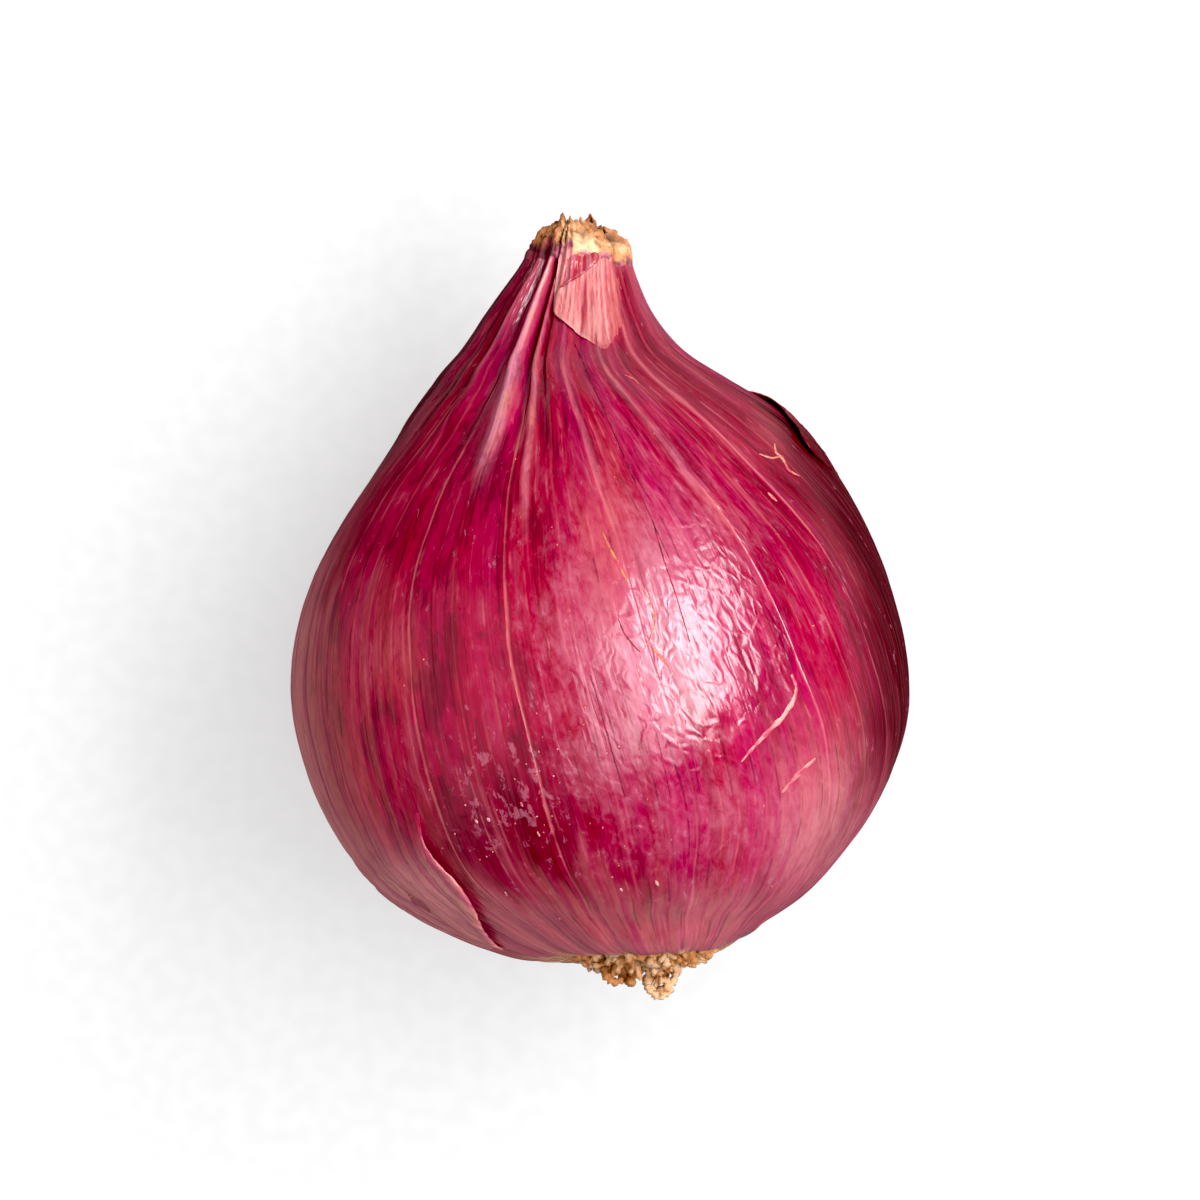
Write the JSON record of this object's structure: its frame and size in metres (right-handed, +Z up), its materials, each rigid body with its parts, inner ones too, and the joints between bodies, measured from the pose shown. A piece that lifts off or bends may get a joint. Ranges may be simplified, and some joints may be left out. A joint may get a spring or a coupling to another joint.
{
  "type": "shallot",
  "caption": "Whole shallot lying on its side: papery-skinned teardrop bulb with a folded, drawn-out neck, withered tip and short dry root tuft.",
  "frame": {"origin": "centre of the small flat spot that the shallot rests on, at z = 0, under its weight", "axes": "+Y along the bulb towards its neck, +Z up, +X to the right when the neck points away from the viewer"},
  "size_m": [0.0361, 0.0456, 0.0334],
  "materials": {
    "skin": "thin papery skin, satin",
    "dry_root": "dry and fibrous, matte",
    "dry_neck": "dry and papery, matte"
  },
  "bodies": {
    "root": {"bulb": "skin", "root_tuft": "dry_root", "neck_tip": "dry_neck"}
  },
  "joints": []
}
